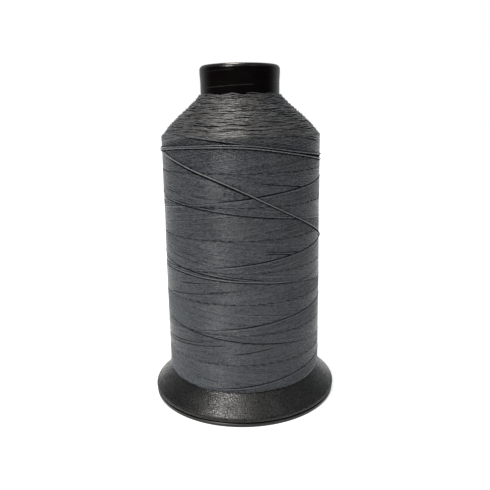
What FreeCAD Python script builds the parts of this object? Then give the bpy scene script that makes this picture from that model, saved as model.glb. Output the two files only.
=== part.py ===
import FreeCAD, Part
import math
import os

V = FreeCAD.Vector

# A tall spool of heavy sewing thread, standing on its foot.
# Millimetres, +Z up, the origin at the centre of the foot on the surface that it stands on.
# Angles go round the axis from the front (-Y), towards +X.

# Thread and clearances
thread_diameter = 0.42
thread_sides = 3
seat_gap = 0.05
skin_gap = 0.1

# Base moulding
foot_radius = 38.1
foot_band_height = 1.25
base_step_clearance = 0.8
base_recess = 0.4
base_web_wall = 1.2
base_web_lift = 3.6
base_rib_count = 8
base_rib_wall = 1.2
base_socket_height = 7.0
base_socket_wall = 1.4
spindle_radius = 8.0
spindle_tube_wall = 1.5
spindle_tube_length = 13.0

# Barrel
spool_height = 133.65
barrel_radius = 15.45
barrel_wall = 1.8
neck_top_round = 1.7
neck_band_count = 3
top_web_wall = 2.0
top_sleeve_length = 9.0
top_rib_count = 4
top_rib_wall = 1.2
top_rib_height = 5.0

# Conical flange, a little wider than the foot
flange_overhang = 0.2
flange_slope_deg = 42.3
flange_edge_round = 1.5
flange_band_count = 2
flange_lower_chamfer = 0.6
flange_wall = 1.6
flange_sleeve_wall = 1.5

# Thread package: its outer surface
package_radius = 31.4
shoulder_foot = 107.0
shoulder_top = 122.6

# Its outer turns, fewer and thicker than the real ones and flat-sided, as the loose end is
turn_diameter = 1.0
turn_sides = 4
turn_layer_gap = 0.85
winding_pitch = 24.15
traverse_count = 2
traverse_top_drop = 1.7
traverse_foot_lift = 5.33
reversal_deg = 150.0
shoulder_quarters = 4
shoulder_start_drop = 3.1
winding_start_deg = 40.0
turn_tuck_radius = 1.2

# The loose end of the thread, as (degrees, height) on the package's surface
loose_route = [
    (-80, 104.8), (-50, 105.0), (-20, 105.2), (12, 104.4),
    (39.5, 102.7), (68, 100.8), (100, 99.5), (130, 99.8), (160, 101.0), (190, 102.4), (220, 103.0),
    (250, 102.8), (282, 102.1), (301, 103.1), (320, 103.8), (348, 103.9), (365, 103.4), (399, 101.1),
    (437, 97.9), (460, 96.5), (490, 96.3), (520, 97.2), (550, 98.6), (580, 99.8), (610, 100.7),
    (640, 101.0), (660, 99.7), (680, 96.7), (705, 91.3), (735, 84.9), (765, 77.5), (795, 69.7),
    (825, 61.3), (855, 50.6), (885, 38.3), (905, 29.3), (921.5, 21.7),
]
loose_tuck_radius = 0.6
# It then runs straight to the flange's edge and round it, as (degrees, degrees round the edge's section),
# and lies in the gap under it, as (degrees, radius)
loose_edge_route = [(955.4, 48), (956.5, 24), (957.7, 0), (959.4, -45), (962.0, -90)]
loose_gap_route = [(969, 36.8), (978, 36.2)]

# Worked out from the sizes above
flange_radius = foot_radius + flange_overhang
lock_gap = thread_diameter + 2 * skin_gap
flange_bottom = foot_band_height + lock_gap
flange_edge_height = flange_bottom + flange_lower_chamfer
flange_slope = math.radians(flange_slope_deg)
bore_radius = barrel_radius - barrel_wall
seat_height = foot_band_height + base_web_lift
socket_inner = barrel_radius + seat_gap
socket_outer = socket_inner + base_socket_wall
socket_top = seat_height + base_socket_height
spindle_tube_outer = spindle_radius + spindle_tube_wall
core_radius = package_radius - 2 * turn_diameter - turn_layer_gap - skin_gap
shoulder_slope = math.atan2(shoulder_top - shoulder_foot, package_radius - barrel_radius)


def at(angle_deg, radius, height):
    a = math.radians(angle_deg)
    return V(radius * math.sin(a), -radius * math.cos(a), height)


def export(name, shape):
    shape.exportStep("parts/" + name + ".step")
    box = shape.BoundBox
    print(name, "solids", len(shape.Solids), "volume", round(shape.Volume, 1), "valid", shape.isValid(),
          "height", round(box.ZMin, 2), "to", round(box.ZMax, 2))


# Turned outlines

def rounding(centre, radius, start_deg, end_deg, bands):
    """Corners of a rounding that is made of a few bands."""
    angles = [math.radians(start_deg + (end_deg - start_deg) * i / bands) for i in range(bands + 1)]
    return [(centre[0] + radius * math.cos(a), centre[1] + radius * math.sin(a)) for a in angles]


def turned(corners):
    """Solid turned from (radius, height) corners."""
    points = [V(radius, 0, height) for radius, height in corners]
    outline = Part.makePolygon(points + points[:1])
    return Part.Face(outline).revolve(V(0, 0, 0), V(0, 0, 1), 360)


def radial_ribs(count, wall, inner, outer, low, high):
    ribs = []
    for i in range(count):
        rib = Part.makeBox(outer - inner, wall, high - low, V(inner, -wall / 2, low))
        rib.rotate(V(0, 0, 0), V(0, 0, 1), (i + 0.5) * 360 / count)
        ribs.append(rib)
    return ribs


def flange_height(radius, offset=0.0):
    """Height of the flange's cone at a radius, or of a surface that far above it."""
    tangent_r = flange_radius - flange_edge_round * (1 - math.sin(flange_slope))
    tangent_z = flange_edge_height + flange_edge_round * math.cos(flange_slope)
    return tangent_z + (tangent_r - radius) * math.tan(flange_slope) + offset / math.cos(flange_slope)


def flange_hollow(height):
    """Radius of the flange's hollow underside at a height."""
    return flange_radius - (height - flange_height(flange_radius, -flange_wall)) / math.tan(flange_slope)


def package_surface(height, inset):
    """Radius of the package's surface at a height, drawn in by an inset."""
    cone_radius = package_radius - (height - shoulder_foot) / math.tan(shoulder_slope)
    return min(package_radius - inset, cone_radius - inset / math.sin(shoulder_slope))


# Spool mouldings

def make_base():
    """A dished disc on its rim, with a socket for the barrel, a tube for the spindle and ribs underneath."""
    step_outer = flange_hollow(seat_height) - base_step_clearance
    step_inner = step_outer - base_web_wall
    web_underside = seat_height - base_web_wall
    tube_top = base_recess + spindle_tube_length
    dish = turned([
        (step_inner, 0), (foot_radius, 0), (foot_radius, foot_band_height), (step_outer, foot_band_height),
        (step_outer, seat_height), (socket_outer, seat_height), (socket_outer, socket_top),
        (socket_inner, socket_top), (socket_inner, seat_height), (spindle_tube_outer, seat_height),
        (spindle_tube_outer, tube_top), (spindle_radius, tube_top), (spindle_radius, base_recess),
        (spindle_tube_outer, base_recess), (spindle_tube_outer, web_underside), (step_inner, web_underside),
    ])
    for rib in radial_ribs(base_rib_count, base_rib_wall, spindle_radius + spindle_tube_wall / 2,
                           step_inner + base_web_wall / 2, base_recess, web_underside + base_web_wall / 2):
        dish = dish.fuse(rib)
    return dish.removeSplitter()


def make_barrel():
    """The tube, closed at the top by a web with a sleeve for the spindle and ribs between."""
    web_underside = spool_height - top_web_wall
    sleeve_foot = spool_height - top_sleeve_length
    top_centre = (barrel_radius - neck_top_round, spool_height - neck_top_round)
    tube = turned([
        (bore_radius, seat_height), (barrel_radius, seat_height),
        *rounding(top_centre, neck_top_round, 0, 90, neck_band_count),
        (spindle_radius, spool_height), (spindle_radius, sleeve_foot), (spindle_tube_outer, sleeve_foot),
        (spindle_tube_outer, web_underside), (bore_radius, web_underside),
    ])
    for rib in radial_ribs(top_rib_count, top_rib_wall, spindle_radius + spindle_tube_wall / 2,
                           bore_radius + barrel_wall / 2, web_underside - top_rib_height,
                           web_underside + top_web_wall / 2):
        tube = tube.fuse(rib)
    return tube.removeSplitter()


def make_flange():
    """A hollow cone on a sleeve round the barrel, open underneath and rounded at its edge."""
    sleeve_inner = barrel_radius + seat_gap
    sleeve_outer = sleeve_inner + flange_sleeve_wall
    sleeve_foot = socket_top + seat_gap
    edge_centre = (flange_radius - flange_edge_round, flange_edge_height)
    inner_foot = flange_radius - flange_edge_round - flange_wall
    return turned([
        (sleeve_inner, sleeve_foot), (sleeve_outer, sleeve_foot),
        (sleeve_outer, flange_height(sleeve_outer, -flange_wall)),
        (inner_foot, flange_height(inner_foot, -flange_wall)), (inner_foot, flange_bottom),
        (flange_radius - flange_lower_chamfer, flange_bottom),
        *rounding(edge_centre, flange_edge_round, 0, 90 - flange_slope_deg, flange_band_count),
        (sleeve_inner, flange_height(sleeve_inner)),
    ])


# Thread

def make_package_core():
    """The plain body of the package, from the flange up to the shoulder."""
    inner = barrel_radius + seat_gap
    drop = (turn_diameter + skin_gap) / math.cos(shoulder_slope)

    def shoulder_height(radius):
        return shoulder_foot + (package_radius - radius) * math.tan(shoulder_slope) - drop

    return turned([
        (inner, flange_height(inner) + seat_gap), (core_radius, flange_height(core_radius) + seat_gap),
        (core_radius, shoulder_height(core_radius)), (inner, shoulder_height(inner)),
    ])


def bend(start, end, tangent, tangent_at_end=False):
    """Arc from start to end that has a given tangent at one of them, or a line where it is straight."""
    chord = end - start
    unit = chord * (1 / chord.Length)
    side = tangent - unit * tangent.dot(unit)
    if side.Length < 1e-5:
        return Part.makeLine(start, end)
    half_turn = math.atan2(side.Length, tangent.dot(unit)) / 2
    bulge = side.normalize() * (chord.Length / 2 * math.tan(half_turn))
    if tangent_at_end:
        bulge = bulge * -1
    return Part.Arc(start, (start + end) * 0.5 + bulge, end).toShape()


def biarc(start, leaving, end, arriving):
    """Two arcs from start to end with the tangents given there."""
    chord = end - start
    along = chord.dot(leaving + arriving)
    spread = 2 * (1 - leaving.dot(arriving))
    if spread < 1e-9:
        reach = chord.dot(chord) / (2 * along)
    else:
        reach = (math.sqrt(along * along + spread * chord.dot(chord)) - along) / spread
    joint = (start + end + (leaving - arriving) * reach) * 0.5
    return [bend(start, joint, leaving), bend(joint, end, arriving, True)]


def tuck(point, tangent, radius, depth):
    """A bend from the surface inwards and a straight run that ends square to the package under it."""
    inward = V(-point.x, -point.y, 0).normalize()
    flat = (tangent - inward * tangent.dot(inward)).normalize()
    foot = point + (flat + inward) * radius
    return [bend(point, foot, flat), Part.makeLine(foot, foot + inward * depth)]


def turned_back(edges):
    """The same edges run the other way."""
    back = []
    for edge in reversed(edges):
        ends = [edge.valueAt(edge.LastParameter), edge.valueAt(edge.FirstParameter)]
        if isinstance(edge.Curve, Part.Line):
            back.append(Part.makeLine(*ends))
        else:
            middle = edge.valueAt((edge.FirstParameter + edge.LastParameter) / 2)
            back.append(Part.Arc(ends[0], middle, ends[1]).toShape())
    return back


def strand_section(edge, diameter, sides):
    """The strand's section, flat-sided, at the start of its first edge."""
    centre = edge.valueAt(edge.FirstParameter)
    along = edge.tangentAt(edge.FirstParameter)
    out = V(centre.x, centre.y, 0)
    out = (out - along * out.dot(along)).normalize()
    side = along.cross(out)
    corners = []
    for i in range(sides):
        a = 2 * math.pi * (i + 0.5) / sides
        corners.append(centre + (out * math.cos(a) + side * math.sin(a)) * (diameter / 2))
    return Part.makePolygon(corners + corners[:1])


def strand(lead, stations, diameter, sides, finish=None):
    """One unbroken tube: lead edges, biarcs through (point, tangent) stations, and finishing edges."""
    edges = list(lead)
    for (start, leaving), (end, arriving) in zip(stations, stations[1:]):
        edges += biarc(start, leaving, end, arriving)
    end, arriving = stations[-1]
    edges += finish or [Part.makeLine(end, end + arriving * diameter)]
    section = strand_section(edges[0], diameter, sides)
    tube = Part.Wire(edges).makePipeShell([section], True, False)
    length = sum(edge.Length for edge in edges)
    print("strand length", round(length, 1), "volume against section times length",
          round(tube.Volume / (Part.Face(section).Area * length), 5),
          "least gap to itself", least_gap(edges, diameter))
    return tube


def least_gap(edges, diameter):
    """Least gap between parts of a strand that aren't neighbours along it."""
    step = 0.6
    points = []
    run = 0.0
    for edge in edges:
        count = max(2, int(edge.Length / step))
        for i in range(count):
            share = (edge.FirstParameter * (count - i) + edge.LastParameter * i) / count
            points.append((edge.valueAt(share), run + edge.Length * i / count))
        run += edge.Length
    cell = 4 * diameter + step
    grid = {}
    for p, s in points:
        grid.setdefault((int(p.x // cell), int(p.y // cell), int(p.z // cell)), []).append((p, s))
    least, place = cell, None
    near = [(i, j, k) for i in (-1, 0, 1) for j in (-1, 0, 1) for k in (-1, 0, 1)]
    for (i, j, k), inside in grid.items():
        for di, dj, dk in near:
            for q, t in grid.get((i + di, j + dj, k + dk), []):
                for p, s in inside:
                    if t - s > 5 * diameter and p.distanceToPoint(q) < least:
                        least, place = p.distanceToPoint(q), p
    return "%.2f near %s" % (least - diameter, place)


def winding_station(angle, height, inset, rise):
    """A point of the winding and its tangent, from its rise per radian."""
    radius = package_surface(height, inset)
    draw = -rise / math.tan(shoulder_slope) if radius < package_radius - inset else 0.0
    a = math.radians(angle)
    tangent = V(math.cos(a), math.sin(a), 0) * radius + V(math.sin(a), -math.cos(a), 0) * draw + V(0, 0, rise)
    return at(angle, radius, height), tangent.normalize()


def smooth_stations(points):
    """Stations through points, each tangent halfway between the chords that meet there."""
    chords = [(b - a).normalize() for a, b in zip(points, points[1:])]
    tangents = [(a + b).normalize() for a, b in zip(chords, chords[1:])]
    tangents.insert(0, chords[0] * (2 * chords[0].dot(tangents[0])) - tangents[0])
    tangents.append(chords[-1] * (2 * chords[-1].dot(tangents[-1])) - tangents[-1])
    return list(zip(points, tangents))


def make_loose_end():
    """The last turns, slack round the top of the package, then down and into the gap at the foot."""
    lay = thread_diameter / 2 + seat_gap
    in_gap = foot_band_height + lock_gap / 2
    points = [at(angle, package_radius + lay, height) for angle, height in loose_route]
    for angle, section_deg in loose_edge_route:
        edge_radius = flange_edge_round if section_deg >= 0 else flange_lower_chamfer
        reach = edge_radius + (lay if section_deg >= 0 else lock_gap / 2)
        section = math.radians(section_deg)
        points.append(at(angle, flange_radius - edge_radius + reach * math.cos(section),
                         flange_edge_height + reach * math.sin(section)))
    points += [at(angle, radius, in_gap) for angle, radius in loose_gap_route]
    stations = smooth_stations(points)
    start, tangent = stations[0]
    depth = package_radius + lay - loose_tuck_radius - core_radius - seat_gap
    lead = turned_back(tuck(start, tangent * -1, loose_tuck_radius, depth))
    return strand(lead, stations, thread_diameter, thread_sides)


def make_outer_turns():
    outer = turn_diameter / 2
    inner = outer + turn_diameter + turn_layer_gap
    quarter = 90.0
    traverse_top = shoulder_foot - traverse_top_drop
    traverse_foot = flange_height(package_radius) + traverse_foot_lift
    traverse_quarters = round((traverse_top - traverse_foot) * 4 / winding_pitch)
    step = (traverse_top - traverse_foot) / traverse_quarters
    pass_rise = step / (math.pi / 2)
    stations = []
    # Down the shoulder in a close spiral
    angle = winding_start_deg
    height = shoulder_top - shoulder_start_drop
    fall = (height - traverse_top - step) / shoulder_quarters
    for i in range(shoulder_quarters):
        stations.append(winding_station(angle, height, outer, -fall / (math.pi / 2)))
        angle += quarter
        height -= fall
    # Then down in the lower layer and up in the upper one, with a reversal between
    direction = -1
    for traverse in range(traverse_count):
        quarters = traverse_quarters if traverse else traverse_quarters + 1
        for i in range(quarters + 1):
            inset = inner if direction < 0 and height < shoulder_foot - step else outer
            stations.append(winding_station(angle, height, inset, direction * pass_rise))
            if i < quarters:
                angle += quarter
                height += direction * step
        angle += reversal_deg
        direction = -direction
    loops = (angle - reversal_deg - winding_start_deg) / 360
    print("turns of the outer layer", round(loops, 2))
    start, leaving = stations[0]
    lead = [Part.makeLine(start - leaving * turn_diameter, start)]
    end, arriving = stations[-1]
    depth = package_radius - outer - core_radius - seat_gap - turn_tuck_radius
    return strand(lead, stations, turn_diameter, turn_sides, tuck(end, arriving, turn_tuck_radius, depth))


def main():
    os.makedirs("parts", exist_ok=True)
    export("foot_base", make_base())
    export("barrel", make_barrel())
    export("cone_flange", make_flange())
    export("thread_package", make_package_core())
    export("outer_turns", make_outer_turns())
    export("loose_end", make_loose_end())


main()
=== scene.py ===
import math

import bmesh
import bpy
import numpy as np
from mathutils import Matrix, Vector


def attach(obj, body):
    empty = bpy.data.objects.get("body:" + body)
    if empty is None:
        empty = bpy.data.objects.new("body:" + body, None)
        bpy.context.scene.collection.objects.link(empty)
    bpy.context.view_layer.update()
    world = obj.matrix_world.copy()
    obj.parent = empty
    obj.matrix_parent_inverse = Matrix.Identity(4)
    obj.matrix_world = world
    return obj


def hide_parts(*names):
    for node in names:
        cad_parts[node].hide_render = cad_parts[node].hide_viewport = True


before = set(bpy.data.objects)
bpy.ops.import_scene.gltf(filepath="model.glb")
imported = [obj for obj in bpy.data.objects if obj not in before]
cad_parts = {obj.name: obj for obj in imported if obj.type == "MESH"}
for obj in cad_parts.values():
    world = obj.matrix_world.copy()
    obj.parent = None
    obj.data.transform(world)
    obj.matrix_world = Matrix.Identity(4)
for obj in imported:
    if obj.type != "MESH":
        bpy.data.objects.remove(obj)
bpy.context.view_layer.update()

# A tall spool of heavy sewing thread on its foot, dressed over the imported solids.
# Sizes are in millimetres until a mesh is made. Angles go round the axis from the front (-Y), towards +X.

mm = 0.001
scene = bpy.context.scene
scene.view_settings.view_transform = "Standard"


class Sizes(dict):
    # A dictionary whose values are also read as attributes
    __getattr__ = dict.__getitem__


# What the pieces share
spool = Sizes(
    height=133.65,
    neckRadius=15.45,
    packageRadius=31.4,
    shoulderFoot=107.0,
    shoulderTop=122.6,
)
shoulderTan = (spool.shoulderTop - spool.shoulderFoot) / (spool.packageRadius - spool.neckRadius)


def put(name, data):
    # A new object in the scene
    made = bpy.data.objects.new(name, data)
    scene.collection.objects.link(made)
    return made


# Camera, in the photograph's place

lookFrom = Sizes(place=(1.024, -225.66, 115.83), lens=40.793, tiltDown=13.5, roll=-0.898, nearest=5.0)


def placeCamera(look):
    eye = bpy.data.cameras.new("camera")
    eye.lens = look.lens
    eye.clip_start = look.nearest * mm
    holder = put("camera", eye)
    holder.matrix_world = (Matrix.Translation(Vector(look.place) * mm)
                           @ Matrix.Rotation(math.radians(90.0 - look.tiltDown), 4, "X")
                           @ Matrix.Rotation(math.radians(look.roll), 4, "Z"))
    scene.camera = holder


placeCamera(lookFrom)
print("camera placed")


# Node helpers

class Signal:
    # One output socket in an expression. Arithmetic and comparisons with it add Math nodes.
    def __init__(self, maker, socket):
        self.maker = maker
        self.socket = socket

    def __neg__(self):
        return self * -1.0

    def __abs__(self):
        return self.maker.maths("ABSOLUTE", self)


def addOperator(name, operation):
    # The operator, and the one for a plain number on its left
    def forward(self, other):
        return self.maker.maths(operation, self, other)

    def backward(self, other):
        return self.maker.maths(operation, other, self)

    setattr(Signal, f"__{name}__", forward)
    setattr(Signal, f"__r{name}__", backward)


for name, operation in (("add", "ADD"), ("sub", "SUBTRACT"), ("mul", "MULTIPLY"), ("truediv", "DIVIDE"),
                        ("pow", "POWER"), ("mod", "FLOORED_MODULO"), ("lt", "LESS_THAN"),
                        ("gt", "GREATER_THAN")):
    addOperator(name, operation)


def findSocket(sockets, key):
    if isinstance(key, int):
        return sockets[key]
    return [s for s in sockets if s.enabled and key in (s.identifier, s.name)][0]


class NodeMaker:
    def __init__(self, tree):
        self.tree = tree

    def node(self, kind, settings=None, inputs=None, output=0):
        # Settings come first because they change which sockets there are
        made = self.tree.nodes.new(kind)
        for name, value in (settings or {}).items():
            if name == "curve":
                line = made.mapping.curves[0].points
                while len(line) < len(value):
                    line.new(0.5, 0.5)
                for point, spot in zip(line, value):
                    point.location = spot
                made.mapping.update()
            else:
                setattr(made, name, value)
        for key, value in (inputs or {}).items():
            socket = findSocket(made.inputs, key)
            if isinstance(value, Signal):
                self.tree.links.new(value.socket, socket)
            else:
                socket.default_value = value
        return Signal(self, findSocket(made.outputs, output)) if made.outputs else None

    def maths(self, operation, *values):
        return self.node("ShaderNodeMath", {"operation": operation}, dict(enumerate(values)))

    def lower(self, a, b):
        return self.maths("MINIMUM", a, b)

    def upper(self, a, b):
        return self.maths("MAXIMUM", a, b)

    def step(self, value, start, end, low=0.0, high=1.0):
        # A smooth rise from low to high as value goes from start to end
        return self.node("ShaderNodeMapRange", {"interpolation_type": "SMOOTHSTEP"},
                         {"Value": value, "From Min": start, "From Max": end, "To Min": low, "To Max": high})

    def between(self, value, start, full, last, end):
        # 0 outside start and end, 1 from full to last
        return self.step(value, start, full) * self.step(value, end, last)

    def vector(self, x, y, z):
        return self.node("ShaderNodeCombineXYZ", None, {"X": x, "Y": y, "Z": z})

    def parts(self, vector):
        made = self.node("ShaderNodeSeparateXYZ", None, {"Vector": vector}).socket.node
        return [Signal(self, socket) for socket in made.outputs]

    def attribute(self, name):
        return self.node("ShaderNodeAttribute", {"attribute_name": name}, None, "Fac")

    def noise(self, vector, size, detail=2.0, roughness=0.5):
        # Lumps about as large as size, in the vector's own units
        return self.node("ShaderNodeTexNoise", None,
                         {"Vector": vector, "Scale": 1.0 / size, "Detail": detail, "Roughness": roughness})

    def random(self, low, high, number, seed):
        return self.node("FunctionNodeRandomValue", {"data_type": "FLOAT"},
                         {"Min": low, "Max": high, "ID": number, "Seed": seed}, "Value")

    def blend(self, share, first, second, way="MIX"):
        # Colours, mixed by share
        return self.node("ShaderNodeMix", {"data_type": "RGBA", "blend_type": way},
                         {"Factor": share, "A": first, "B": second}, "Result")


def rgb(r, g, b):
    return (r, g, b, 1.0)


def centred(value, span=360.0):
    # The same place in a repeat of this span, counted from its middle
    return (value + span / 2) % span - span / 2


# Materials

def openNodes(owner):
    # A material's or world's nodes, to be made anew
    owner.use_nodes = True
    owner.node_tree.nodes.clear()
    return NodeMaker(owner.node_tree)


def startMaterial(name):
    material = bpy.data.materials.new(name)
    return material, openNodes(material)


def coat(maker, look, colour, rough, height, dark):
    # A glossy skin with some relief, which gives way to a flat dark colour where dark is 1: painted shade on
    # the thread, pits in the mouldings' skin
    bump = maker.node("ShaderNodeBump", None, {"Strength": look.relief, "Distance": mm, "Height": height})
    skin = maker.node("ShaderNodeBsdfPrincipled", None, {
        "Base Color": colour, "Roughness": rough, "Normal": bump,
        "IOR": 1.5, "Specular IOR Level": look.gloss})
    flat = maker.node("ShaderNodeBsdfDiffuse", None, {"Color": look.gapColour})
    both = maker.node("ShaderNodeMixShader", None, {0: dark, 1: skin, 2: flat})
    maker.node("ShaderNodeOutputMaterial", None, {"Surface": both})


def placeInMm(maker):
    # Object coordinates in millimetres
    place = maker.node("ShaderNodeTexCoord", None, None, "Object")
    return maker.node("ShaderNodeVectorMath", {"operation": "SCALE"}, {"Vector": place, "Scale": 1.0 / mm})


def frontAngle(maker, x, y):
    return maker.maths("ARCTAN2", x, -y) * (180 / math.pi)


def facingUp(maker):
    return maker.parts(maker.node("ShaderNodeNewGeometry", None, None, "Normal"))[2]


# The winding. Its strands lie side by side each way, and every new one crosses over all the older ones,
# so which of two crossing strands is on top depends on their ages, counted in degrees from the newest.

winding = Sizes(
    strandsEachWay=56, strandDiameter=0.42, diameterScatter=0.012, sides=6,
    pitch=24.15, phaseAngle=-40.0, phaseHeight=58.33, radius=31.47,
    # How far a strand dips under those that cross it, and the share of that just before the newest one
    layerDrop=0.34, earlyShare=0.4, earlySpacings=1.2,
    # Where strands of like age cross, both ways sink, and crossingShade sets the painted shade there
    crossingSpacings=0.9, crossingShare=0.4, crossingShade=0.3, groove=0.3, frontLift=0.1,
    # The ends, where a strand turns back within so many degrees and tucks in, so far for each degree
    footHeight=10.45, footScatter=0.22, topHeight=107.0, topScatter=0.9,
    reversal=10.0, tuck=0.11, topRise=0.9, riseFrom=101.0, riseTo=105.5,
    # Between its ends a strand wavers with its neighbours, and here and there strays from them
    calmFoot=13.0, freeFrom=22.0, freeTo=98.0, calmTop=107.0,
    waver=0.45, waverSize=22.0, stray=0.54, straySize=55.0, strayLimit=0.14,
    # The package swells low down, draws in at its foot and is a little uneven
    swell=0.3, swellFrom=85.0, swellTo=45.0, draw=0.32, drawPower=1.6, drawHeight=12.4,
    unevenness=0.12, lumpSize=20.0,
    seed=7,
)
# Fixed in its tree: the strands' tones, the painted highlight on each way's newest strand, and what sets
# strands and ways apart in the noise
windingFit = Sizes(tones=(0.1, 0.9), freshTone=0.9, strandShift=71.3, wayShift=50.0)
strandSpacing = 360.0 / winding.strandsEachWay
heightSpacing = winding.pitch / winding.strandsEachWay

# The two ways: which way they go up, and how far behind the phase their newest strand is, in spacings
ways = {
    "risingStrands": {"way": 1.0, "offset": 0.25, "seedShift": 10},
    "fallingStrands": {"way": -1.0, "offset": 0.75, "seedShift": 30},
}
risingOffset, fallingOffset = (way["offset"] for way in ways.values())

# Strands that stand apart from the next one: way, number, lowest and highest height, and how deep the gap is,
# which also sets the painted shade in it
apartStrands = [
    (-1, 27, 88.3, 91.0, 1.0), (-1, 26, 64.2, 66.3, 1.0), (-1, 24, 63.2, 65.4, 1.0),
    (-1, 32, 94.3, 95.4, 0.9), (-1, 32, 70.0, 71.2, 0.9), (-1, 8, 61.3, 63.9, 0.5),
    (-1, 8, 86.4, 88.0, 0.6), (-1, 9, 85.2, 86.6, 0.6), (-1, 1, 55.4, 57.6, 0.9),
    (-1, 1, 81.6, 84.2, 0.8), (-1, 13, 14.4, 15.6, 0.5), (1, 21, 50.0, 52.2, 0.5),
    (1, 11, 26.6, 30.2, 0.9), (1, 14, 25.0, 30.0, 1.0), (1, 23, 26.3, 28.4, 0.8),
    (1, 2, 10.9, 12.3, 0.8), (-1, 12, 105.0, 106.3, 0.9), (-1, 11, 64.7, 65.3, 0.5),
    (-1, 13, 63.6, 64.9, 0.6), (-1, 14, 63.3, 64.1, 0.4), (-1, 15, 62.9, 63.6, 0.4),
    (-1, 45, 53.2, 54.0, 0.5), (1, 22, 47.0, 49.8, 0.6), (1, 12, 52.3, 54.0, 0.5),
]
gapEnd = 0.4  # height over which such a gap opens and closes

# The slack last turns and the strand that runs down from them into the gap at the foot.
# The shade of each time round is its depth below the strand and its strength above it.
slackStrand = Sizes(
    # Its tube's high tone and pale share paint a highlight on the strand
    tube=Sizes(strandDiameter=0.4, sides=8, step=3.0 * mm, tone=1.1, loose=0.75,
               dullFrom=100.0, dullTo=680.0, leastDull=0.25),
    layRadius=31.78,
    onPackage=[
        (-77, 102.75), (-63, 103.2), (-49, 103.7), (-34, 104.15), (-18, 104.6), (0, 104.5), (13.6, 103.8),
        (26, 102.8), (42, 101.4), (58, 100.3), (74, 99.4), (100, 98.8), (130, 99.3), (160, 100.6), (190, 102.0),
        (220, 102.8), (250, 102.75), (283, 102.3), (297, 102.6), (311, 103.15), (326, 103.6), (344, 103.85),
        (360, 103.7), (373.5, 103.0), (389.5, 101.6), (405, 100.2), (418, 99.1), (434, 97.6), (460, 96.4),
        (490, 96.3), (520, 97.2), (550, 98.6), (580, 99.9), (610, 101.1), (640, 101.9), (655, 101.1),
        (667, 99.2), (676, 97.7), (685, 96.1), (703, 92.7), (722.4, 88.0), (742, 82.4), (765, 76.2),
        (795, 68.8), (825, 60.9), (855, 50.6), (885, 38.3), (905, 29.3), (921.5, 21.7),
    ],
    fromLayer=[(-108.0, 103.4, 30.4), (-94.0, 103.1, 31.3)],
    toGap=[
        (932.0, 15.6, 33.6), (944.0, 8.9, 36.2), (951.5, 4.6, 38.05), (957.7, 2.47, 38.56),
        (962.0, 1.62, 37.75), (969.0, 1.56, 36.8), (978.0, 1.56, 36.2),
    ],
    turns=[(1.15, 0.4), (0.7, 0.6)],
    # The strand that runs down has light under it at the left, and its shade gets thinner to the right
    litAngles=(-64.0, -50.0), litLoss=0.6, thinning=(-8.0, 14.0, 1.15, 0.75),
)

# The newest falling strand lies lower in front than those beside it, and joins them again at the right
strayStrand = Sizes(
    # Its tube paints a smaller highlight on its front part
    tube=Sizes(slackStrand.tube, strandDiameter=0.46, loose=0.4, dullFrom=-90.0, dullTo=-20.0),
    layRadius=31.52,
    onPackage=[
        (-92, 56.5), (-82, 56.7), (-71.8, 56.95), (-54.8, 57.15), (-43.8, 56.95), (-37, 56.65), (-30.2, 56.3),
        (-17.4, 55.85), (-5.2, 55.4), (8.1, 54.95), (22, 54.1), (32, 53.7),
    ],
    fromLayer=[(-112.0, 55.4, 30.3), (-102.0, 56.1, 31.1)],
    toGap=[(40.0, 53.3, 31.2), (48.0, 52.8, 30.3)],
    seen=(-95.0, -85.0, 28.0, 40.0), turns=[(0.75, 0.5)],
)

# A painted shade line where the outer layer's edge shows under the shoulder, at the front right
topEdge = Sizes(
    onPackage=[(-20, 107.5), (0, 107.4), (10, 107.25), (20, 107.06), (30, 107.3), (39, 107.45),
               (48, 106.6), (58, 105.7), (70, 104.8)],
    seen=(0.0, 9.0, 60.0, 70.0), turns=[(0.5, 0.0)],
)

# A painted shade line along a rising strand's edge beside the newest falling strand, at the right
sideEdge = Sizes(
    onPackage=[(34, 52.75), (40, 53.1), (50, 53.75), (60, 54.4), (72, 55.2), (85, 56.1), (98, 57.0)],
    seen=(34.0, 44.0, 86.0, 98.0), turns=[(0.5, 0.0)],
)


def laidHeights(strand, turns=1):
    # Height of a strand at every tenth degree from -180 to 180, for each time it goes round.
    # The smoothed strand passes through these averages of its route's points.
    route = np.array(strand.onPackage)
    smooth = np.vstack([route[:1], (route[:-2] + 6 * route[1:-1] + route[2:]) / 8, route[-1:]])
    angles = np.arange(-180.0, 181.0, 10.0)
    if turns > 1:
        angles = angles + 360.0 * (angles < route[0, 0])
    return [np.interp(angles + 360.0 * turn, *smooth.T) for turn in range(turns)]


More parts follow.
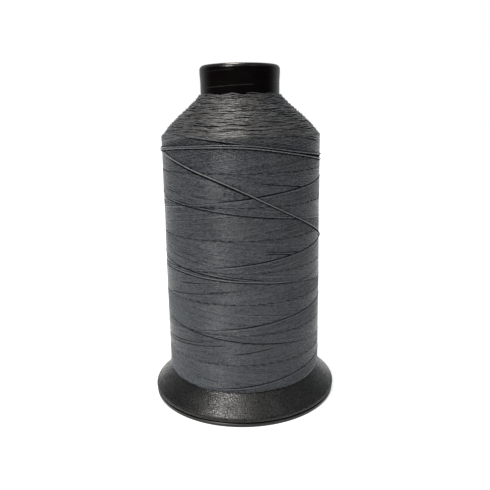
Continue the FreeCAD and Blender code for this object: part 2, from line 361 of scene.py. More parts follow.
threadLook = Sizes(
    darkColour=rgb(0.014, 0.018, 0.021),
    lightColour=rgb(0.104, 0.1195, 0.138),
    warmColour=rgb(0.080, 0.081, 0.081),
    looseColour=rgb(0.26, 0.264, 0.268),
    shoulderColour=rgb(1.36, 1.08, 0.92),
    # The flat dark colour that the painted shade gives way to
    gapColour=rgb(0.0035, 0.0035, 0.0045),
    # How much each of these leads from the dark to the light colour
    toneRange=0.7, grain=3.6, grit=3.5, plyRange=0.15, paler=0.4, palerHeights=(100.0, 10.0),
    # Lengths along a strand, and sizes on the package
    grainLength=1.3, runLength=9.0, runShare=0.4, gritSize=0.45,
    warmSize=9.0, warmLimits=(0.42, 0.68), warmShare=0.3,
    # A strand's tone tells it from the others, so that each reads its own stretch of the noises
    grainShift=910.0, runShift=70.0, plyShift=900.0, fibreShift=37.0,
    plies=3, plyLength=2.4, plyDepth=0.018, fibreSize=0.35, fibreDepth=0.006,
    fibreStretch=(0.6, 1.4), grainDepth=0.36,
    roughness=0.27, roughRange=1.1, smoothest=0.12, gloss=0.6, relief=0.7,
    # On the shoulder: how strong its painted warm light is, and how much less grain and painted shade and more
    # roughness it has
    shoulderHeights=(104.0, 109.0), shoulderShare=0.5, shoulderCalm=0.2, shoulderOpen=0.25,
    shoulderRough=0.06,
    # Painted shade lines: strength, and limits in degrees or millimetres
    gapShade=0.92, undersideLimits=(0.55, 0.95), slackLimits=(0.4, 0.6),
    edgeShade=0.97, edgeLimits=(-11.5, -9.5, -3.6, -2.2),
    risingSeen=(12.0, 45.0), fallingSeen=(95.0, 55.0),
    dashShade=0.84, dashWidth=(0.24, 0.13), dashAlong=(0.05, 0.16, 0.76, 0.92),
    # A dash fades by noises: size, detail, limits and least strength
    dashFading=[(11.0, 1.0, 0.35, 0.55, 0.72), (3.0, 2.0, 0.36, 0.52, 0.8)],
    dashTop=(106.0, 104.5), dashTopAngles=(-2.0, 8.0), dashTopShare=0.4,
    laidShade=0.95, laidStart=(0.08, 0.22), laidFade=0.2, laidAbove=(0.45, 0.62),
)


def newestEdges(maker, look, at):
    # A painted shade line along the newest strand of each way, where the other way's strands come out from
    # under it
    other = maker.attribute("otherAge") + at.way * (at.z - at.centre) * (360.0 / winding.pitch)
    past = centred(other - at.rising * (fallingOffset * strandSpacing)
                   - at.falling * (risingOffset * strandSpacing))
    turned = centred(at.angle - winding.phaseAngle)
    seen = (at.rising * maker.step(turned, *look.fallingSeen)
            + at.falling * maker.step(turned, *look.risingSeen))
    return maker.between(past, *look.edgeLimits) * seen * look.edgeShade


def interleavingDashes(maker, look, at):
    # Painted shade where rising strands go under falling ones: a dash for each, along the falling strand's edge
    nearest = centred(at.z - winding.phaseHeight, winding.pitch / 2)
    along = ((at.angle - winding.phaseAngle) / strandSpacing - fallingOffset) % 1.0
    off = abs(nearest - (0.5 - along) * heightSpacing)
    dash = maker.step(off, *look.dashWidth) * maker.between(along, *look.dashAlong)
    for size, detail, start, end, least in look.dashFading:
        dash = dash * maker.step(maker.noise(at.place, size, detail), start, end, least, 1.0)
    dash = dash * maker.upper(at.rising, at.falling) * look.dashShade
    # The topmost line shows only at the right, and faintly
    return dash * maker.upper(maker.step(at.z, *look.dashTop),
                              maker.step(at.angle, *look.dashTopAngles, 0.0, look.dashTopShare))


def laidShade(maker, look, at):
    # On the package, a painted shadow line below each thing that lies on it and a fainter one above
    angle = at.angle
    lit = maker.step(angle, *slackStrand.litAngles)
    *turns, diagonal = laidHeights(slackStrand, 3)
    # Heights round the package, where it shows, the shade's depth, and its strength below and above
    lines = [(heights, 1.0, depth, 1.0, above) for heights, (depth, above) in zip(turns, slackStrand.turns)]
    lines.append((diagonal, 1.0, maker.step(angle, *slackStrand.thinning), lit,
                  1.0 - lit * slackStrand.litLoss))
    for strand in (strayStrand, topEdge, sideEdge):
        depth, above = strand.turns[0]
        lines.append((laidHeights(strand)[0], maker.between(angle, *strand.seen), depth, 1.0, above))
    curveFoot, curveSpan = 10.0, 100.0  # heights that the curves can hold
    start, full = look.laidStart
    shade = 0.0
    for heights, here, depth, below, above in lines:
        points = [(i / (len(heights) - 1), (h - curveFoot) / curveSpan) for i, h in enumerate(heights)]
        curve = maker.node("ShaderNodeFloatCurve", {"curve": points}, {"Value": angle / 360.0 + 0.5})
        off = at.z - (curve * curveSpan + curveFoot)
        under = maker.between(-off, start, full, depth - look.laidFade, depth) * below
        over = maker.between(off, start, full, *look.laidAbove) * above
        shade = maker.upper(shade, maker.upper(under, over) * here)
    return shade * (at.loose < 0.01) * look.laidShade


def makeThreadMaterial(look):
    material, maker = startMaterial("bondedThread")
    place = placeInMm(maker)
    x, y, z = maker.parts(place)
    way, tone, along, loose = map(maker.attribute, ("strandWay", "strandTone", "alongStrand", "loose"))
    around = maker.maths("ARCTAN2", maker.attribute("aroundSin"), maker.attribute("aroundCos"))
    onShoulder = maker.step(z, *look.shoulderHeights)
    turn = (around * look.plies + along * (math.tau * look.plies / look.plyLength)
            + tone * look.plyShift)
    ply = maker.maths("SINE", turn) * 0.5 + 0.5
    lengthwise, across = look.fibreStretch
    fibres = maker.noise(maker.vector(along * lengthwise, around * across, tone * look.fibreShift),
                         look.fibreSize, 3.0, 0.6)
    # Strands differ a little in tone, and each one along its length
    own = tone * look.grainShift
    grain = maker.noise(maker.vector(along, own, 0.0), look.grainLength, 3.0, 0.7)
    run = maker.noise(maker.vector(along, own, look.runShift), look.runLength, 2.0, 0.5)
    streak = grain * (1.0 - look.runShare) + run * look.runShare - 0.5
    streak = streak * (1.0 - onShoulder * look.shoulderCalm)
    grit = maker.noise(place, look.gritSize, 2.0, 0.7) - 0.5
    # Painted light: the strands are paler towards the bottom, standing in for light from the floor
    share = (tone * look.toneRange + streak * look.grain + grit * look.grit + ply * look.plyRange
             + maker.step(z, *look.palerHeights) * look.paler)
    colour = maker.blend(share, look.darkColour, look.lightColour)
    warm = maker.step(maker.noise(place, look.warmSize), *look.warmLimits) * look.warmShare
    colour = maker.blend(warm, colour, look.warmColour)
    # Painted highlight: loose strands are blended towards a pale colour by the share stored on them
    colour = maker.blend(loose, colour, look.looseColour)
    # Painted light: the shoulder faces up, so it is made lighter and warmer, as if lit from above
    colour = maker.blend(onShoulder * look.shoulderShare, colour, look.shoulderColour, "MULTIPLY")
    # Painted shade: what lies deep between other strands, and a slack strand's underside, is darkened towards a
    # flat dark colour
    sunk = maker.attribute("sunk") * look.gapShade * (1.0 - onShoulder * look.shoulderOpen)
    underside = maker.step(loose, *look.slackLimits) * maker.step(-facingUp(maker), *look.undersideLimits)
    shade = maker.upper(sunk, underside)
    at = Sizes(place=place, angle=frontAngle(maker, x, y), z=z, centre=maker.attribute("laidHeight"),
               way=way, rising=maker.upper(way, 0.0), falling=maker.upper(-way, 0.0), loose=loose)
    for darkLines in (newestEdges, interleavingDashes, laidShade):
        shade = maker.upper(shade, darkLines(maker, look, at))
    height = ply * look.plyDepth + fibres * look.fibreDepth + streak * look.grainDepth
    rough = maker.upper(streak * look.roughRange + look.roughness, look.smoothest)
    coat(maker, look, colour, rough + onShoulder * look.shoulderRough, height, shade)
    return material


# What the mouldings' skins share: sizes of the noises, their limits, and what each adds
mouldingSkin = Sizes(
    smudgeSize=9.0, rubSpread=0.06, rubFineness=3.0, restedLimits=(0.1, 0.8),
    dustSpecks=(0.66, 0.78), dustSmudges=(0.4, 0.65), dustOnSides=0.1, dustRough=0.4,
    filmLimits=(0.42, 0.7), film=0.12,
    rubLimits=(0.55, 0.75), rubRough=0.12, rubDents=(0.6, 0.8), rubDepth=0.002, roughest=0.9,
    rubbedRadii=(37.5, 38.15), edgeRub=0.0, relief=0.6, peelSize=0.62,
    gapColour=rgb(0.006, 0.006, 0.006), pits=0.0, pitSize=0.6, pitSmudges=0.25,
    pitLimits=(0.82, 0.88), mottle=0.0, mottleSize=0.42, mottleLimits=(0.45, 0.64),
    scratches=[], scratchWidth=(0.3, 0.05), scratchStart=30.0, scratchEnd=12.0,
    scratchSmudges=(0.3, 0.6, 0.4, 1.0),
)
blackLook = Sizes(
    mouldingSkin, name="blackMoulding", colour=rgb(0.0022, 0.001, 0.0012),
    dustColour=rgb(0.16, 0.15, 0.14), dust=0.35, speckSize=0.8,
    roughness=0.22, roughRange=0.16, peel=0.012, gloss=0.36,
    # Faint scratches round the neck: height in front, rise a degree, first and last angle, strength
    scratches=[(125.42, 0.0125, -70.0, 24.0, 0.16), (131.0, 0.009, -62.0, -4.0, 0.12)],
)
footLook = Sizes(
    mouldingSkin, name="greyBlackMoulding", colour=rgb(0.009, 0.0085, 0.0085),
    dustColour=rgb(0.2, 0.19, 0.18), dust=0.12, speckSize=0.7,
    roughness=0.34, roughRange=0.2, peel=0.02, gloss=0.45,
)
flangeLook = Sizes(
    mouldingSkin, name="dustyBlackMoulding", colour=rgb(0.006, 0.0055, 0.0055),
    dustColour=rgb(0.24, 0.225, 0.205), dust=0.3, speckSize=0.9,
    roughness=0.2, roughRange=0.2, peel=0.13, peelSize=0.5, gloss=0.7,
    edgeRub=0.22, pits=0.9, mottle=0.54,
)


def makeMouldingMaterial(look):
    material, maker = startMaterial(look.name)
    place = placeInMm(maker)
    x, y, z = maker.parts(place)
    angle = frontAngle(maker, x, y)
    radius = maker.maths("SQRT", x * x + y * y)
    smudges = maker.noise(place, look.smudgeSize, 3.0, 0.6)
    specks = maker.noise(place, look.speckSize, 2.0, 0.7)
    # Rub marks run round the moulding, as it was handled and stacked
    spread = look.rubSpread
    rubs = maker.noise(maker.vector(x * spread, y * spread, (z + radius) * look.rubFineness), 1.0, 3.0, 0.7)
    rested = maker.step(facingUp(maker), *look.restedLimits)
    dust = (maker.step(specks, *look.dustSpecks) * maker.step(smudges, *look.dustSmudges)
            * (rested * (1.0 - look.dustOnSides) + look.dustOnSides))
    film = maker.step(smudges, *look.filmLimits) * rested * look.film
    share = maker.lower((dust + film) * look.dust, 1.0)
    for height, rise, first, last, strength in look.scratches:
        off = abs(z - (angle * rise + height))
        seen = (maker.step(off, *look.scratchWidth) * maker.step(smudges, *look.scratchSmudges)
                * maker.between(angle, first, first + look.scratchStart, last - look.scratchEnd, last))
        share = maker.upper(share, seen * strength)
    colour = maker.blend(share, look.colour, look.dustColour)
    # The outer edge is rubbed dull
    rough = ((smudges + specks * look.pits - 0.5) * look.roughRange + dust * look.dustRough
             + maker.step(rubs, *look.rubLimits) * look.rubRough
             + maker.step(radius, *look.rubbedRadii) * look.edgeRub)
    rough = maker.lower(rough + look.roughness, look.roughest)
    peel = (maker.noise(place, look.peelSize, 0.0) * look.peel
            + maker.step(rubs, *look.rubDents) * look.rubDepth)
    # Small pits in the skin, more of them where it was scuffed
    scuffed = maker.noise(place, look.pitSize, 0.0) + smudges * look.pitSmudges
    mottled = maker.noise(place, look.mottleSize, 0.0)
    pits = maker.upper(maker.step(scuffed, *look.pitLimits) * look.pits,
                       maker.step(mottled, *look.mottleLimits) * look.mottle)
    coat(maker, look, colour, rough, peel, pits)
    return material


threadMaterial = makeThreadMaterial(threadLook)
blackMaterial, flangeMaterial, footMaterial = map(makeMouldingMaterial, (blackLook, flangeLook, footLook))
print("materials made")


# Geometry node trees

def openTree(name, sizes):
    # Takes a whole number or a float for each of these sizes, and a material
    tree = bpy.data.node_groups.new(name, "GeometryNodeTree")
    kinds = {label: "Int" if isinstance(size, int) else "Float" for label, size in sizes.items()}
    for label, kind in {"Geometry": "Geometry", **kinds, "Material": "Material"}.items():
        tree.interface.new_socket(label, in_out="INPUT", socket_type="NodeSocket" + kind)
    tree.interface.new_socket("Geometry", in_out="OUTPUT", socket_type="NodeSocketGeometry")
    maker = NodeMaker(tree)
    entry = tree.nodes.new("NodeGroupInput")
    return maker, Sizes((s.name, Signal(maker, s)) for s in entry.outputs if s.name)


def closeTree(maker, given, geometry):
    whole = maker.node("GeometryNodeRealizeInstances", None, {"Geometry": geometry})
    dressed = maker.node("GeometryNodeSetMaterial", None, {"Geometry": whole, "Material": given.Material})
    maker.node("NodeGroupOutput", None, {"Geometry": dressed})
    return maker.tree


def grow(name, tree, values, material, start=None):
    # Runs a tree on a starting shape, or on nothing, and keeps the result as a plain mesh
    helper = put(name + "Start", start or bpy.data.meshes.new(name + "Start"))
    step = helper.modifiers.new("grow", "NODES")
    step.node_group = tree
    values = dict(values, Material=material)
    for item in tree.interface.items_tree:
        if item.in_out == "INPUT" and item.name in values:
            step[item.identifier] = values[item.name]
    bpy.context.view_layer.update()
    seen = bpy.context.evaluated_depsgraph_get()
    mesh = bpy.data.meshes.new_from_object(helper.evaluated_get(seen), depsgraph=seen)
    bpy.data.objects.remove(helper)
    mesh.name = name
    print(name, len(mesh.polygons), "faces")
    return put(name, mesh)


def keep(maker, geometry, **values):
    # Stores values on the points, for the material to read
    for label, value in values.items():
        geometry = maker.node("GeometryNodeStoreNamedAttribute", {"data_type": "FLOAT", "domain": "POINT"},
                              {"Geometry": geometry, "Name": label, "Value": value})
    return geometry


def strandTube(maker, given, curve, tone):
    # A closed round strand along each curve
    length = maker.node("GeometryNodeSplineParameter", None, None, "Length") / mm
    curve = keep(maker, curve, strandTone=tone, alongStrand=length)
    ring = maker.node("GeometryNodeCurvePrimitiveCircle", None,
                      {"Resolution": given.sides, "Radius": given.strandDiameter * (mm / 2)})
    x, y, _ = maker.parts(maker.node("GeometryNodeInputPosition"))
    ring = keep(maker, ring, aroundCos=x / mm, aroundSin=y / mm)
    tube = maker.node("GeometryNodeCurveToMesh", None,
                      {"Curve": curve, "Profile Curve": ring, "Fill Caps": True})
    return maker.node("GeometryNodeSetShadeSmooth", None, {"Geometry": tube, "Shade Smooth": True})


def strandsThrough(maker, given, count, place, strand, index, tone, **values):
    # A strand through each group of points, with one tone for each
    points = maker.node("GeometryNodePoints", None, {"Count": count, "Position": place})
    curves = maker.node("GeometryNodePointsToCurves", None,
                        {"Points": keep(maker, points, **values), "Curve Group ID": strand, "Weight": index})
    even = maker.node("GeometryNodeFieldOnDomain", {"data_type": "FLOAT", "domain": "CURVE"}, {0: tone})
    return closeTree(maker, given, strandTube(maker, given, curves, even))


def wrapped(maker, angle, radius, height):
    # A point from degrees round the axis, radius and height in millimetres
    a = angle * (math.pi / 180)
    flat = radius * mm
    return maker.vector(flat * maker.maths("SINE", a), -(flat * maker.maths("COSINE", a)), height * mm)


def roundAxis(maker, angle, height, size):
    # Noise over the package, without a seam where the angle starts again
    a = angle * (math.pi / 180)
    about = 30.0  # the package's radius, roughly
    spot = maker.vector(maker.maths("SINE", a) * about, maker.maths("COSINE", a) * about, height)
    return maker.noise(spot, size, 1.0) - 0.5


def strandSteps(maker, steps):
    # Each point's index, its strand and its step on that strand
    index = maker.node("GeometryNodeInputIndex")
    strand = maker.maths("FLOOR", (index + 0.5) / steps)
    return index, strand, index - strand * steps


def apartGaps(maker, way, number, height):
    # How far a strand sinks, and how strong its painted shade is, where it stands apart from the next one
    opening = 0.0
    for apartWay, apartNumber, low, high, depth in apartStrands:
        here = (maker.maths("COMPARE", way, float(apartWay), 0.5)
                * maker.maths("COMPARE", number, float(apartNumber), 0.5)
                * maker.between(height, low, low + gapEnd, high - gapEnd, high))
        opening = here * depth + opening
    return opening


def crossedStrandsTree(sizes):
    maker, given = openTree("crossedStrands", sizes)
    steps = given.steps
    seed = given.seed
    index, strand, step = strandSteps(maker, steps)
    number = strand + given.firstStrand
    spacing = 360.0 / given.strandsEachWay
    ownAge = (number + given.ageOffset) * spacing
    # One step is half a spacing, from one crossing to the next, counted from the phase height
    turn = given.firstTurn + step * spacing * 0.5
    way = given.way
    passed = ownAge + way * turn * 2.0
    otherAge = passed % 360.0
    under = otherAge < ownAge
    # It starts to dip just before it goes under the newest strand, and both ways sink where they interleave
    nearFront = otherAge > 360.0 - spacing * given.earlySpacings
    under = maker.upper(under, nearFront * given.earlyShare)
    interleaved = abs(centred(otherAge - ownAge)) < spacing * given.crossingSpacings
    newest = ownAge < spacing
    # Each strand flattens into its reversal at both ends and tucks in beyond it
    rate = given.pitch / 360.0
    reach = given.reversal
    footEnd = given.footHeight + maker.random(-1.0, 1.0, number, seed) * given.footScatter
    topEnd = given.topHeight + maker.random(-1.0, 1.0, number, seed + 1) * given.topScatter
    phase = given.phaseHeight
    lowTurn = (footEnd - phase) / rate - reach * 0.5
    highTurn = (topEnd - phase) / rate + reach * 0.5
    held = maker.lower(maker.upper(turn, lowTurn), highTurn)
    beyond = abs(turn - held)
    footBend = maker.upper(lowTurn + reach - held, 0.0) ** 2.0
    topBend = maker.upper(held - highTurn + reach, 0.0) ** 2.0
    height = phase + rate * (held + (footBend - topBend) / (reach * 2.0))
    angle = given.phaseAngle + way * turn + ownAge
    # Here and there a strand leaves its neighbours for part of a turn
    free = maker.between(height, given.calmFoot, given.freeFrom, given.freeTo, given.calmTop)
    waver = roundAxis(maker, angle, height, given.waverSize) * given.waver
    spot = maker.vector(turn, number * windingFit.strandShift, way * windingFit.wayShift)
    wander = maker.noise(spot, given.straySize, 0.0) - 0.5
    stray = (maker.maths("SIGN", wander) * maker.upper(abs(wander) - given.strayLimit, 0.0)
             * given.stray)
    laid = (height + (waver + stray) * free
            + maker.step(height, given.riseFrom, given.riseTo) * given.topRise)
    opening = apartGaps(maker, way, number, height)
    cone = given.radius - maker.upper(laid - spool.shoulderFoot, 0.0) / shoulderTan
    draw = maker.upper(given.drawHeight - laid, 0.0) ** given.drawPower * given.draw
    # A little less than half of the unevenness stands out
    bulge = (roundAxis(maker, angle, laid, given.lumpSize) - 1.0 / 6) * given.unevenness
    bulge = bulge + maker.step(laid, given.swellFrom, given.swellTo) * given.swell
    groove = maker.upper(interleaved * under * given.crossingShare, opening) * given.groove
    thinner = maker.random(0.0, given.diameterScatter, number, seed + 3)
    radius = (cone - draw + bulge - given.strandDiameter * 0.5 - under * given.layerDrop - groove
              + newest * given.frontLift - beyond * given.tuck - thinner)
    # Painted shade where strands interleave or stand apart, for the material to read
    sunk = maker.upper(interleaved * under * given.crossingShade, opening)
    spline = maker.node("GeometryNodeInputIndex")
    fresh = spline + given.firstStrand < 0.5
    # The newest strand of each way gets a painted highlight on top of its tone
    tone = maker.random(*windingFit.tones, spline, seed + 4) + fresh * windingFit.freshTone
    return strandsThrough(maker, given, given.strandsMade * steps, wrapped(maker, angle, radius, laid),
                          strand, index, tone, sunk=sunk, strandWay=way, otherAge=passed, laidHeight=laid)


def makeCrossedStrands():
    # Each way in two halves by age, so that no piece has too many faces
    spareSteps = 6  # beyond both ends
    perMm = 360.0 / winding.pitch / strandSpacing * 2
    firstStep = math.floor((winding.footHeight - winding.phaseHeight) * perMm) - spareSteps
    lastStep = math.ceil((winding.topHeight - winding.phaseHeight) * perMm) + spareSteps
    half = winding.strandsEachWay // 2
    jobs = {}
    for name, way in ways.items():
        for part, first in (("Newer", 0), ("Older", half)):
            jobs[name + part] = Sizes(
                winding, firstStrand=first, strandsMade=half, steps=lastStep - firstStep + 1,
                firstTurn=(firstStep + 0.5) * strandSpacing / 2, way=way["way"],
                ageOffset=way["offset"], seed=winding.seed + way["seedShift"])
    tree = crossedStrandsTree(jobs["risingStrandsNewer"])
    return [grow(name, tree, values, threadMaterial) for name, values in jobs.items()]


# The tapered shoulder, made of the reversals of the layers under the outer one

shoulder = Sizes(
    arcs=1500, steps=8, strandDiameter=0.42, sides=5, halfAngle=13.0, angleScatter=4.0,
    fall=0.0034, lean=0.012, heightScatter=0.36, neckRise=0.35, neckReach=2.5,
    swell=0.75, seed=23,
)
# Fixed in its tree; the golden angle keeps arcs of like height apart
arcFit = Sizes(
    outerGap=0.05, neckGap=0.15, goldenAngle=137.508, turnScatter=6.0, lifts=(-1.0, 0.6),
    swellShares=(0.0, 0.3, 0.4, 0.85), sunkShares=(0.5, 0.95), tones=(0.25, 0.95),
)


def shoulderTree():
    maker, given = openTree("shoulderArcs", shoulder)
    steps = given.steps
    seed = given.seed
    index, arc, step = strandSteps(maker, steps)
    # From the package's outside, at the foot of the shoulder, to the neck
    share = (arc + maker.random(0.0, 1.0, arc, seed)) / given.arcs
    outer = spool.packageRadius - arcFit.outerGap
    inner = spool.neckRadius + winding.strandDiameter + arcFit.neckGap
    layer = outer - share * (outer - inner)
    lift = maker.random(*arcFit.lifts, arc, seed + 1) * given.heightScatter
    apex = spool.shoulderFoot + (spool.packageRadius - layer) * shoulderTan + lift
    apex = apex + maker.step(layer, given.neckReach + inner, inner) * given.neckRise
    half = given.halfAngle + maker.random(-1.0, 1.0, arc, seed + 2) * given.angleScatter
    away = (step / (steps - 1.0) * 2.0 - 1.0) * half
    scatter = arcFit.turnScatter
    middle = arc * arcFit.goldenAngle + maker.random(-scatter, scatter, arc, seed + 3)
    lean = maker.random(-given.lean, given.lean, arc, seed + 4)
    height = apex - given.fall * away * away + lean * away
    swell = maker.between(share, *arcFit.swellShares) * given.swell
    radius = layer + swell - given.strandDiameter * 0.5
    # Painted shade at the arc ends, where they dive under the others
    sunk = maker.step(abs(away) / half, *arcFit.sunkShares)
    tone = maker.random(*arcFit.tones, maker.node("GeometryNodeInputIndex"), seed + 5)
    return strandsThrough(maker, given, given.arcs * steps, wrapped(maker, middle + away, radius, height),
                          arc, index, tone, sunk=sunk)


def laidStrandTree():
    maker, given = openTree("laidStrand", slackStrand.tube)
    flat = maker.node("GeometryNodeResampleCurve", {"mode": "LENGTH"},
                      {"Curve": given.Geometry, "Length": given.step})
    # The flat curve holds degrees, millimetres of height and millimetres of radius, each times a thousandth
    angle, height, radius = (part / mm for part in maker.parts(maker.node("GeometryNodeInputPosition")))
    # Painted highlight share, growing round the strand between the two angles
    highlight = maker.step(angle, given.dullFrom, given.dullTo, given.leastDull, 1.0) * given.loose
    laid = maker.node("GeometryNodeSetPosition", None,
                      {"Geometry": keep(maker, flat, loose=highlight),
                       "Position": wrapped(maker, angle, radius, height)})
    return closeTree(maker, given, strandTube(maker, given, laid, given.tone))


def layStrand(name, tree, strand):
    # The route is (degrees, height, radius); it is smoothed flat and then wrapped round the package
    route = [*strand.fromLayer, *((a, h, strand.layRadius) for a, h in strand.onPackage),
             *strand.toGap]
    start = bpy.data.curves.new(name + "Route", "CURVE")
    start.dimensions = "3D"
    spline = start.splines.new("NURBS")
    spline.points.add(len(route) - 1)
    for point, (a, h, r) in zip(spline.points, route):
        point.co = (a * mm, h * mm, r * mm, 1.0)
    spline.order_u = 3
    spline.use_endpoint_u = True
    spline.resolution_u = 12
    return grow(name, tree, strand.tube, threadMaterial, start)


# Turned pieces

def rounded(centre, radius, startDeg, endDeg, count):
    # Points of a rounding, as (radius, height)
    spots = [math.radians(startDeg + (endDeg - startDeg) * i / count) for i in range(count + 1)]
    return [(centre[0] + radius * math.cos(a), centre[1] + radius * math.sin(a)) for a in spots]


def turnedMesh(name, outline, segments):
    # A closed outline turned round the axis
    work = bmesh.new()
    rings = []
    for i in range(segments):
        a = math.tau * i / segments
        rings.append([work.verts.new(Vector((r * math.sin(a), -r * math.cos(a), h)) * mm) for r, h in outline])
    for i, ring in enumerate(rings):
        following = rings[(i + 1) % segments]
        for j in range(len(outline)):
            k = (j + 1) % len(outline)
            work.faces.new((ring[j], following[j], following[k], ring[k]))
    bmesh.ops.recalc_face_normals(work, faces=work.faces)
    mesh = bpy.data.meshes.new(name)
    work.to_mesh(mesh)
    work.free()
    mesh.shade_smooth()
    mesh.set_sharp_from_angle(angle=math.radians(32))
    return mesh


def turnedPiece(name, outline, segments, material):
    mesh = turnedMesh(name, outline, segments)
    mesh.materials.append(material)
    return put(name, mesh)


def ribbedTree():
    sizes = ("wall", "innerRadius", "outerRadius", "low", "high")
    maker, given = openTree("radialRibs", {"ribs": 0, **dict.fromkeys(sizes, 0.0)})
    wall, inner, outer, low, high = (given[size] for size in sizes)
    block = maker.node("GeometryNodeMeshCube", None,
                       {"Size": maker.vector((outer - inner) * mm, wall * mm, (high - low) * mm)})
    index = maker.node("GeometryNodeInputIndex")
    turn = (index + 0.5) * math.tau / given.ribs
    middle = (outer + inner) * (mm / 2)
    centre = maker.vector(maker.maths("COSINE", turn) * middle, maker.maths("SINE", turn) * middle,
                          (high + low) * (mm / 2))
    points = maker.node("GeometryNodePoints", None, {"Count": given.ribs, "Position": centre})
    ribs = maker.node("GeometryNodeInstanceOnPoints", None,
                      {"Points": points, "Instance": block, "Rotation": maker.vector(0.0, 0.0, turn)})
    joined = maker.tree.nodes.new("GeometryNodeJoinGeometry")
    for signal in (given.Geometry, ribs):
        maker.tree.links.new(signal.socket, joined.inputs[0])
    return closeTree(maker, given, Signal(maker, joined.outputs[0]))


barrel = Sizes(
    bore=13.65, seat=4.85, topDrop=0.35, lip=0.2, lipHeight=4.3, topRound=1.7, spindle=8.0,
    sleeveWall=1.5, sleeveLength=9.0, sleeveRound=0.5, footChamfer=0.2, web=2.0,
    ribs=4, ribWall=1.2, ribHeight=5.0, ribRoot=0.9, segments=160,
    # How the lip swells: share of it, and height from its foot
    lipCurve=[(0.0, -2.4), (0.12, -1.5), (0.5, -0.3), (0.88, 0.9), (1.0, 1.8)],
)
flange = Sizes(
    radius=38.3, bottom=1.87, edgeHeight=2.47, edgeRound=1.5, slope=42.3, wall=1.6,
    sleeveInner=15.5, sleeveOuter=17.0, sleeveFoot=11.9, lowerRound=0.6, segments=192,
    coneRadii=(36.0, 34.0, 32.0, 28.0, 24.0, 20.0),
)
foot = Sizes(
    radius=38.1, band=1.35, chamfer=0.2, stepOuter=35.0, stepWall=1.2, seat=4.85,
    socketInner=15.5, socketOuter=16.9, socketTop=11.85, tubeOuter=9.5, tubeTop=13.4,
    spindle=8.0, recess=0.4, web=1.2, ribs=8, ribWall=1.2, ribRoot=0.6, segments=192,
)
# The older layers, seen only as dark gaps between the outer strands, painted almost wholly in shade
core = Sizes(
    neckGap=0.05, flangeGap=0.06, underStrands=0.62, shoulderDrop=0.75, footRound=1.0,
    heights=(11.6, 30.0, 60.0, 90.0), shoulderRows=14, segments=128, sunk=0.97,
)


def makeBarrel(ribTree):
    b = barrel
    top = spool.height - b.topDrop
    outer = spool.neckRadius
    wide = outer + b.lip
    webUnder = top - b.web
    sleeveFoot = top - b.sleeveLength
    sleeveOuter = b.spindle + b.sleeveWall
    outline = [
        (b.bore, b.seat), (outer - b.footChamfer, b.seat), (outer, b.seat + b.footChamfer),
        *[(outer + b.lip * share, top - b.lipHeight + rise) for share, rise in b.lipCurve],
        *rounded((wide - b.topRound, top - b.topRound), b.topRound, 0, 90, count=12),
        *rounded((b.spindle + b.sleeveRound, top - b.sleeveRound), b.sleeveRound, 90, 180, count=4),
        (b.spindle, sleeveFoot), (sleeveOuter, sleeveFoot), (sleeveOuter, webUnder), (b.bore, webUnder),
    ]
    values = Sizes(ribs=b.ribs, wall=b.ribWall, innerRadius=b.spindle + b.sleeveWall / 2,
                   outerRadius=b.bore + b.ribRoot, low=webUnder - b.ribHeight, high=webUnder + b.web / 2)
    start = turnedMesh("barrelStart", outline, b.segments)
    return grow("neckAndBarrel", ribTree, values, blackMaterial, start)


def flangeHeight(radius, offset=0.0):
    # Height of the flange's cone at a radius, or of a surface that far above it
    f = flange
    slope = math.radians(f.slope)
    tangentRadius = f.radius - f.edgeRound * (1 - math.sin(slope))
    tangentHeight = f.edgeHeight + f.edgeRound * math.cos(slope)
    return tangentHeight + (tangentRadius - radius) * math.tan(slope) + offset / math.cos(slope)


def makeFlange():
    f = flange
    innerFoot = f.radius - f.edgeRound - f.wall
    low = f.lowerRound
    outline = [
        (f.sleeveInner, f.sleeveFoot), (f.sleeveOuter, f.sleeveFoot),
        (f.sleeveOuter, flangeHeight(f.sleeveOuter, -f.wall)),
        (innerFoot, flangeHeight(innerFoot, -f.wall)), (innerFoot, f.bottom),
        *rounded((f.radius - low, f.bottom + low), low, -90, 0, count=5)[:-1],
        *rounded((f.radius - f.edgeRound, f.edgeHeight), f.edgeRound, 0, 90 - f.slope, count=10),
        *[(r, flangeHeight(r)) for r in (*f.coneRadii, f.sleeveInner)],
    ]
    return turnedPiece("coneFlangeMoulding", outline, f.segments, flangeMaterial)


def makeFoot(ribTree):
    f = foot
    webUnder = f.seat - f.web
    stepInner = f.stepOuter - f.stepWall
    c = f.chamfer
    outline = [
        (stepInner, 0.0), (f.radius - c, 0.0), (f.radius, c), (f.radius, f.band - c),
        (f.radius - c, f.band), (f.stepOuter, f.band), (f.stepOuter, f.seat),
        (f.socketOuter, f.seat), (f.socketOuter, f.socketTop), (f.socketInner, f.socketTop),
        (f.socketInner, f.seat), (f.tubeOuter, f.seat), (f.tubeOuter, f.tubeTop),
        (f.spindle, f.tubeTop), (f.spindle, f.recess), (f.tubeOuter, f.recess),
        (f.tubeOuter, webUnder), (stepInner, webUnder),
    ]
    values = Sizes(ribs=f.ribs, wall=f.ribWall, innerRadius=(f.spindle + f.tubeOuter) / 2,
                   outerRadius=stepInner + f.ribRoot, low=f.recess, high=webUnder + f.web / 2)
    return grow("footMoulding", ribTree, values, footMaterial, turnedMesh("footStart", outline, f.segments))


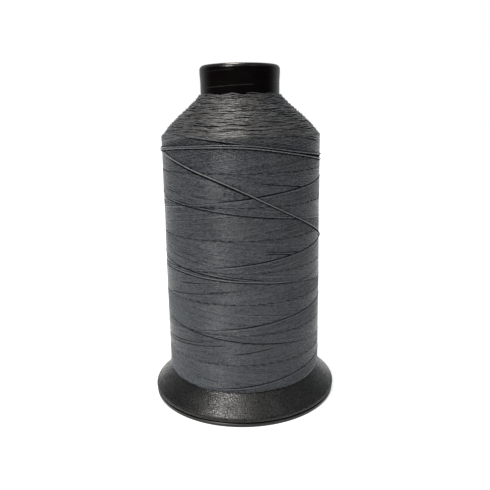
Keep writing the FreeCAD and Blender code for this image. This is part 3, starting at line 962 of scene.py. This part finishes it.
def makeWoundCore():
    inner = spool.neckRadius + core.neckGap
    outer = spool.packageRadius - core.underStrands
    outline = [(r, flangeHeight(r) + core.flangeGap) for r in (inner, outer - core.footRound)]
    outline += [(outer, height) for height in core.heights]
    for i in range(core.shoulderRows + 1):
        r = outer - (outer - inner) * i / core.shoulderRows
        rise = (spool.packageRadius - r) * shoulderTan
        outline.append((r, spool.shoulderFoot + rise - core.shoulderDrop))
    piece = turnedPiece("woundCore", outline, core.segments, threadMaterial)
    # Painted shade: the whole core is darkened almost to the flat dark colour
    depth = piece.data.attributes.new("sunk", "FLOAT", "POINT")
    depth.data.foreach_set("value", [core.sunk] * len(piece.data.vertices))
    return piece


ribTree = ribbedTree()
barrelPiece = makeBarrel(ribTree)
flangePiece = makeFlange()
footPiece = makeFoot(ribTree)
corePiece = makeWoundCore()
print("mouldings and core made")
strandPieces = makeCrossedStrands()
arcsPiece = grow("shoulderArcs", shoulderTree(), shoulder, threadMaterial)
strandTree = laidStrandTree()
slackPiece = layStrand("slackStrand", strandTree, slackStrand)
strayPiece = layStrand("strayStrand", strandTree, strayStrand)
print("thread laid")

for piece, slot, stoodFor in (
        (barrelPiece, "spool_plastic", ["barrel"]),
        (flangePiece, "spool_plastic", ["cone_flange"]),
        (footPiece, "base_plastic", ["foot_base"]),
        (corePiece, "thread", ["thread_package"]),
        (arcsPiece, "thread", ["outer_turns"]),
        (slackPiece, "thread", ["loose_end"]),
        (strayPiece, "thread", ["outer_turns"]),
        *((piece, "thread", ["outer_turns"]) for piece in strandPieces)):
    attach(piece, "root")
    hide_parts(*stoodFor)


# Floor, backdrop and light

studio = Sizes(
    floorSize=6000.0, floorGrey=0.85, dimGrey=0.03,
    seenWhite=0.68, farWhite=0.97, farLimits=(50.0, 170.0), dimLimits=(280.0, 480.0),
    backLimits=(0.5, 0.75), room=0.05, roomColour=(0.94, 1.0, 1.05),
    behindLimits=(-0.05, 0.75), behind=0.47, ceilingLimits=(0.3, 0.65), ceiling=0.36,
)


def makeFloor():
    material, maker = startMaterial("paleFloor")
    camera, glossy, through = (maker.node("ShaderNodeLightPath", output=f"Is {ray} Ray")
                               for ray in ("Camera", "Glossy", "Transmission"))
    place = placeInMm(maker)
    # The floor's own white grows away from the spool, so the shadow stays and the horizon doesn't show.
    # The white sheet ends in front, where the dim room begins; only the camera still sees it white there.
    away = maker.node("ShaderNodeVectorMath", {"operation": "LENGTH"}, {"Vector": place}, "Value")
    back = maker.step(maker.parts(place)[1] / away, *studio.backLimits)
    front = maker.step(away, *studio.dimLimits) * (1.0 - back)
    white = maker.step(away, *studio.farLimits, studio.seenWhite, studio.farWhite)
    level = maker.upper(camera, maker.upper(glossy, through) * (1.0 - front)) * white
    sheet = maker.blend(front, rgb(*[studio.floorGrey] * 3), rgb(*[studio.dimGrey] * 3))
    diffuse = maker.node("ShaderNodeBsdfDiffuse", None, {"Color": sheet})
    glow = maker.node("ShaderNodeEmission", None, {"Color": rgb(1, 1, 1), "Strength": level})
    both = maker.node("ShaderNodeAddShader", None, {0: diffuse, 1: glow})
    maker.node("ShaderNodeOutputMaterial", None, {"Surface": both})
    half = studio.floorSize / 2 * mm
    mesh = bpy.data.meshes.new("floor")
    mesh.from_pydata([(-half, -half, 0), (half, -half, 0), (half, half, 0), (-half, half, 0)], [],
                     [(0, 1, 2, 3)])
    mesh.materials.append(material)
    floor = put("floor", mesh)


def setWorld():
    world = bpy.data.worlds.new("studio")
    scene.world = world
    maker = openNodes(world)
    camera = maker.node("ShaderNodeLightPath", output="Is Camera Ray")
    # The white backdrop stands behind the spool under a pale ceiling, and the room in front of it is dim
    _, behind, above = maker.parts(maker.node("ShaderNodeTexCoord", None, None, "Generated"))
    backdrop = maker.step(behind, *studio.behindLimits, studio.room, studio.behind)
    ceiling = maker.step(above, *studio.ceilingLimits, 0.0, studio.ceiling)
    level = maker.upper(camera, maker.upper(backdrop, ceiling))
    tint = maker.blend(level, rgb(*studio.roomColour), rgb(1, 1, 1))
    sky = maker.node("ShaderNodeBackground", None, {"Color": tint, "Strength": level})
    maker.node("ShaderNodeOutputWorld", None, {"Surface": sky})


paleWarm = (1.0, 0.97, 0.93)
lamps = {  # place, aim, size, power and colour
    "windowLeft": ((-180, -276, 371), (0, 0, 70), (118, 100), 0.87, paleWarm),
    "ceilingPanel": ((-148, -200, 395), (-148, -200, 0), (330, 80), 0.38, paleWarm),
    "ceilingPanelRight": ((130, -205, 395), (130, -205, 0), (200, 70), 0.02, paleWarm),
    "windowAbove": ((-45, 40, 420), (-5, -20, 115), (90, 90), 0.66, (1.0, 0.93, 0.84)),
    "lampRight": ((230, -230, 400), (0, 0, 110), (60, 60), 0.04, (1.0, 0.96, 0.9)),
}


def hangLamps():
    for name, (place, aim, size, power, colour) in lamps.items():
        light = bpy.data.lights.new(name, "AREA")
        light.shape = "RECTANGLE"
        light.size, light.size_y = (s * mm for s in size)
        light.energy = power
        light.color = colour
        facing = (Vector(aim) - Vector(place)).to_track_quat("-Z", "Y").to_matrix().to_4x4()
        put(name, light).matrix_world = Matrix.Translation(Vector(place) * mm) @ facing


makeFloor()
setWorld()
hangLamps()
print("studio set")

bpy.context.view_layer.update()
